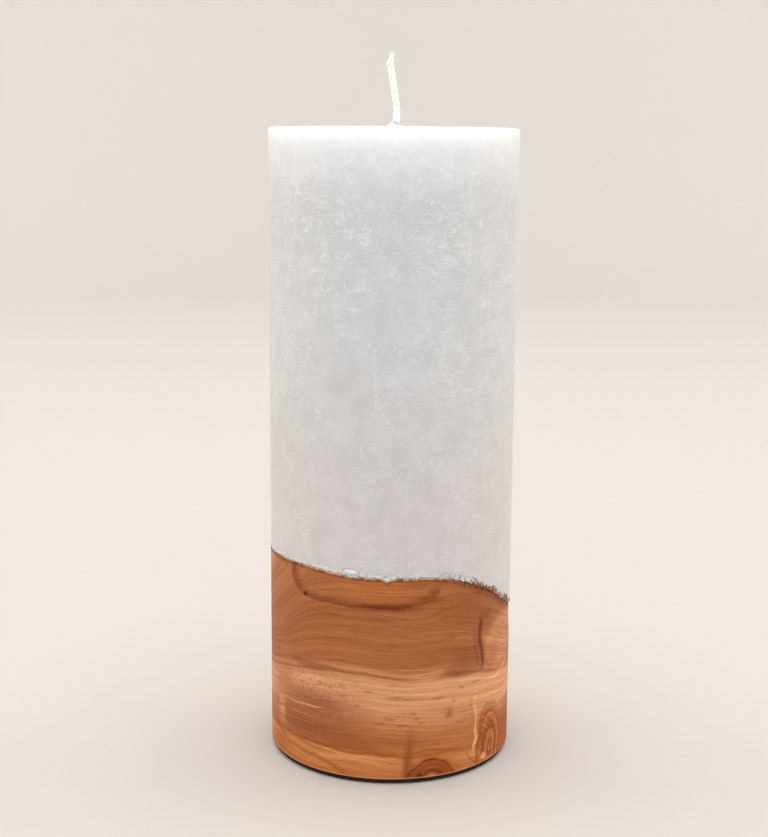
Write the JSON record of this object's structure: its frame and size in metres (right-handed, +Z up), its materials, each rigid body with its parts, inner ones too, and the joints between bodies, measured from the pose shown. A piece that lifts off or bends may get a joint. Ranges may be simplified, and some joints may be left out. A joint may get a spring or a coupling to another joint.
{
  "type": "unity candle",
  "caption": "Tall crystalline wax pillar candle cast on an olive-wood foot with a wavy top edge, with a braided cotton wick.",
  "frame": {"origin": "centre of the underside of the felt disc, on the pillar's axis, where the candle stands on the table", "axes": "+Z up along the pillar's axis; the front faces -Y; +X is to the right, where the wave in the wood rolls down"},
  "size_m": [0.078, 0.078, 0.2233],
  "materials": {
    "olive_wood": "sanded and oiled, satin",
    "crystal_wax": "translucent crystalline wax, soft satin",
    "cotton_wick": "braided cotton primed with wax",
    "tinned_steel": "tin-plated sheet",
    "dark_felt": "pressed felt"
  },
  "bodies": {
    "root": {"wood_base": "olive_wood", "wax_body": "crystal_wax", "wick": "cotton_wick", "wick_sustainer": "tinned_steel", "felt_disc": "dark_felt"}
  },
  "joints": []
}
